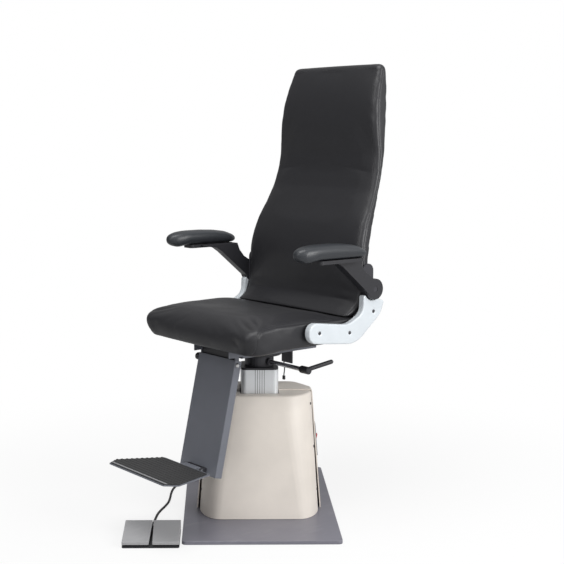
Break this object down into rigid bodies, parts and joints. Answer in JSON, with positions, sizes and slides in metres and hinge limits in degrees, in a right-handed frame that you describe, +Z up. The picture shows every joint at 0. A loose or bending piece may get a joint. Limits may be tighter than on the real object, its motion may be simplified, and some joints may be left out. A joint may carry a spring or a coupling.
{
  "type": "ophthalmic chair unit",
  "caption": "Powered ophthalmic examination chair: contoured high back, flip-up armrests, footplate, square lifting column with cover on a floor plate, and a corded foot switch.",
  "frame": {"origin": "on the floor, where the seat's swivel axis meets the underside of the base plate", "axes": "+Z up along the column and swivel axis; the chair faces -Y; +X is the sitter's left; the base plate's long side is turned 52.5 degrees from Y about Z"},
  "size_m": [0.8199, 0.9172, 1.3071],
  "materials": {
    "violet_grey_paint": "satin violet-grey paint",
    "panel_grey_paint": "satin dark grey paint",
    "cream_moulding": "fine-grained cream moulding",
    "silver_extrusion": "satin anodised",
    "dark_casting": "dark enamel",
    "black_plastic": "matt black",
    "bright_steel": "turned steel",
    "black_upholstery": "near-black synthetic leather",
    "pad_skin": "soft integral-skin foam",
    "white_moulding": "satin white",
    "treadle_grey": "mid grey",
    "black_rubber": "matt black rubber",
    "plywood": "sealed plywood",
    "red_rocker": "translucent red",
    "zinc_plate": "zinc-plated sheet"
  },
  "bodies": {
    "base": {"base_plate": "violet_grey_paint", "column_guide": "zinc_plate", "glide_collar": "black_plastic", "actuator_gearbox": "dark_casting", "actuator_motor": "zinc_plate", "actuator_tube": "silver_extrusion", "actuator_clevis": "dark_casting", "actuator_pin": "bright_steel", "control_box": "zinc_plate", "cover_front": "cream_moulding", "cover_rear": "cream_moulding", "switch_panel": "zinc_plate", "mains_inlet": "black_plastic", "foot_switch_base": "black_plastic", "treadle_pin": "bright_steel", "cord_relief": "black_rubber", "foot_switch_cord": "black_rubber", "cord_gland": "black_plastic"},
    "column": {"column_profile": "silver_extrusion", "actuator_rod": "bright_steel", "column_head_plate": "black_plastic", "swivel_post": "bright_steel", "thrust_washer": "black_plastic"},
    "seat": {"swivel_hub": "dark_casting", "turntable_disk": "black_plastic", "seat_tray": "panel_grey_paint", "seat_board": "plywood", "rear_hanger": "dark_casting", "seat_lead": "black_rubber", "seat_lead_plug": "black_plastic", "leg_panel": "panel_grey_paint", "leg_bolt": "bright_steel", "leg_knob": "black_plastic", "foot_hinge": "dark_casting", "foot_hinge_pin": "bright_steel", "seat_cushion": "black_upholstery", "back_cushion": "black_upholstery", "back_shell": "black_upholstery", "bracket_cover_left": "white_moulding", "bracket_cover_right": "white_moulding", "side_strap_left": "dark_casting", "side_strap_right": "dark_casting"},
    "armrest_left": {"armrest_left_link": "black_plastic", "armrest_left_pad": "pad_skin"},
    "armrest_right": {"armrest_right_link": "black_plastic", "armrest_right_pad": "pad_skin"},
    "foot_rest": {"footplate": "panel_grey_paint", "foot_mat": "black_rubber"},
    "clamp": {"clamp_rod": "bright_steel", "clamp_lever": "black_plastic"},
    "rocker": {"mains_switch": "red_rocker"},
    "treadle_left_body": {"treadle_left": "treadle_grey"},
    "treadle_right_body": {"treadle_right": "treadle_grey"}
  },
  "joints": [
    {"name": "lift", "type": "slide", "parent": "base", "child": "column", "axis": [0, 0, 1], "range_m": [0, 0.2]},
    {"name": "seat_swivel", "type": "hinge", "parent": "column", "child": "seat", "pos_m": [0, 0, 0.456], "axis": [0, 0, 1], "continuous": true},
    {"name": "armrest_left_flip", "type": "hinge", "parent": "seat", "child": "armrest_left", "pos_m": [0.271, 0.1876, 0.6767], "axis": [-1, 0, 0], "range_deg": [0, 95]},
    {"name": "armrest_right_flip", "type": "hinge", "parent": "seat", "child": "armrest_right", "pos_m": [-0.271, 0.1876, 0.6767], "axis": [-1, 0, 0], "range_deg": [0, 95]},
    {"name": "footplate_fold", "type": "hinge", "parent": "seat", "child": "foot_rest", "pos_m": [0, -0.24197, 0.17378], "axis": [-1, 0, 0], "range_deg": [0, 95]},
    {"name": "clamp_turn", "type": "hinge", "parent": "seat", "child": "clamp", "pos_m": [0.184, 0, 0.45596], "axis": [1, 0, 0], "range_deg": [-100, 25]},
    {"name": "mains_rocker", "type": "hinge", "parent": "base", "child": "rocker", "pos_m": [0.0919, 0.14195, 0.21463], "axis": [0.7934, -0.6088, 0], "range_deg": [0, 16]},
    {"name": "treadle_left_press", "type": "hinge", "parent": "base", "child": "treadle_left_body", "pos_m": [-0.06094, -0.38495, 0.0175], "axis": [0.6088, 0.7934, 0], "range_deg": [0, 1.6], "stiffness_Nm_per_rad": 20, "springref_deg": -1.72},
    {"name": "treadle_right_press", "type": "hinge", "parent": "base", "child": "treadle_right_body", "pos_m": [-0.01345, -0.32307, 0.0175], "axis": [0.6088, 0.7934, 0], "range_deg": [0, 1.6], "stiffness_Nm_per_rad": 20, "springref_deg": -1.72}
  ]
}
